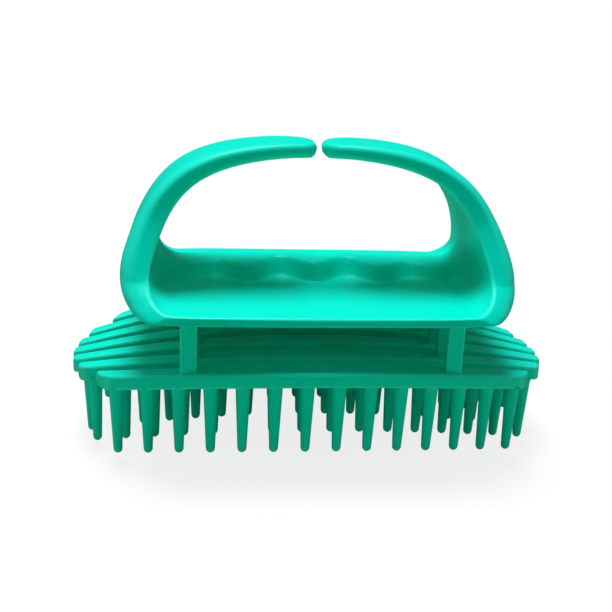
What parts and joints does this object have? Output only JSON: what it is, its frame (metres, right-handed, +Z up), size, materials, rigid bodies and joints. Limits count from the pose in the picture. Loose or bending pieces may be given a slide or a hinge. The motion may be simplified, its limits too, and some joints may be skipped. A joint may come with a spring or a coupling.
{
  "type": "curry brush",
  "caption": "Handheld grooming brush: tapered bristles on arched slats that hang on posts under a tray-shaped base, whose curved arms close over the hand.",
  "frame": {"origin": "on the ground, under the middle of the brush, with the brush standing on its longest-reaching bristle tips", "axes": "+X along the slats to the right of the viewer, +Y away from the viewer across the slats, +Z up through the handle"},
  "size_m": [0.135, 0.0724, 0.0843],
  "materials": {
    "handle_moulding": "satin-glossy moulded soft plastic, even turquoise, faint moulding waviness, edges slightly shinier",
    "slat_moulding": "satin moulded soft plastic, even turquoise, parting line along the ends",
    "post_moulding": "satin moulded soft plastic, even turquoise",
    "bristle_moulding": "satin moulded soft plastic, even turquoise, rounded tips a little more matt"
  },
  "bodies": {
    "handle": {"base_tray": "handle_moulding", "finger_bar": "handle_moulding"},
    "left_arm": {"left_arm": "handle_moulding"},
    "right_arm": {"right_arm": "handle_moulding"},
    "row_1": {"slat_1": "slat_moulding", "bristles_1": "bristle_moulding", "post_1_left": "post_moulding", "post_1_right": "post_moulding"},
    "row_2": {"slat_2": "slat_moulding", "bristles_2": "bristle_moulding", "post_2_left": "post_moulding", "post_2_right": "post_moulding"},
    "row_3": {"slat_3": "slat_moulding", "bristles_3": "bristle_moulding", "post_3_left": "post_moulding", "post_3_right": "post_moulding"},
    "row_4": {"slat_4": "slat_moulding", "bristles_4": "bristle_moulding", "post_4_left": "post_moulding", "post_4_right": "post_moulding"},
    "row_5": {"slat_5": "slat_moulding", "bristles_5": "bristle_moulding", "post_5_left": "post_moulding", "post_5_right": "post_moulding"},
    "row_6": {"slat_6": "slat_moulding", "bristles_6": "bristle_moulding", "post_6_left": "post_moulding", "post_6_right": "post_moulding"},
    "row_7": {"slat_7": "slat_moulding", "bristles_7": "bristle_moulding", "post_7_left": "post_moulding", "post_7_right": "post_moulding"}
  },
  "joints": [
    {"name": "left_arm_flex", "type": "hinge", "parent": "handle", "child": "left_arm", "pos_m": [-0.0483, 0, 0.0511], "axis": [0, -1, 0], "range_deg": [-1, 8], "stiffness_Nm_per_rad": 1.5},
    {"name": "right_arm_flex", "type": "hinge", "parent": "handle", "child": "right_arm", "pos_m": [0.0483, 0, 0.0511], "axis": [0, 1, 0], "range_deg": [-1, 8], "stiffness_Nm_per_rad": 1.5},
    {"name": "row_1_rock", "type": "hinge", "parent": "handle", "child": "row_1", "pos_m": [0, -0.02946, 0.0407], "axis": [1, 0, 0], "range_deg": [-2, 2], "stiffness_Nm_per_rad": 0.6},
    {"name": "row_2_rock", "type": "hinge", "parent": "handle", "child": "row_2", "pos_m": [0, -0.01958, 0.0407], "axis": [1, 0, 0], "range_deg": [-2, 2], "stiffness_Nm_per_rad": 0.6},
    {"name": "row_3_rock", "type": "hinge", "parent": "handle", "child": "row_3", "pos_m": [0, -0.00977, 0.0407], "axis": [1, 0, 0], "range_deg": [-2, 2], "stiffness_Nm_per_rad": 0.6},
    {"name": "row_4_rock", "type": "hinge", "parent": "handle", "child": "row_4", "pos_m": [0, 0, 0.0407], "axis": [1, 0, 0], "range_deg": [-2, 2], "stiffness_Nm_per_rad": 0.6},
    {"name": "row_5_rock", "type": "hinge", "parent": "handle", "child": "row_5", "pos_m": [0, 0.00977, 0.0407], "axis": [1, 0, 0], "range_deg": [-2, 2], "stiffness_Nm_per_rad": 0.6},
    {"name": "row_6_rock", "type": "hinge", "parent": "handle", "child": "row_6", "pos_m": [0, 0.01958, 0.0407], "axis": [1, 0, 0], "range_deg": [-2, 2], "stiffness_Nm_per_rad": 0.6},
    {"name": "row_7_rock", "type": "hinge", "parent": "handle", "child": "row_7", "pos_m": [0, 0.02946, 0.0407], "axis": [1, 0, 0], "range_deg": [-2, 2], "stiffness_Nm_per_rad": 0.6}
  ]
}
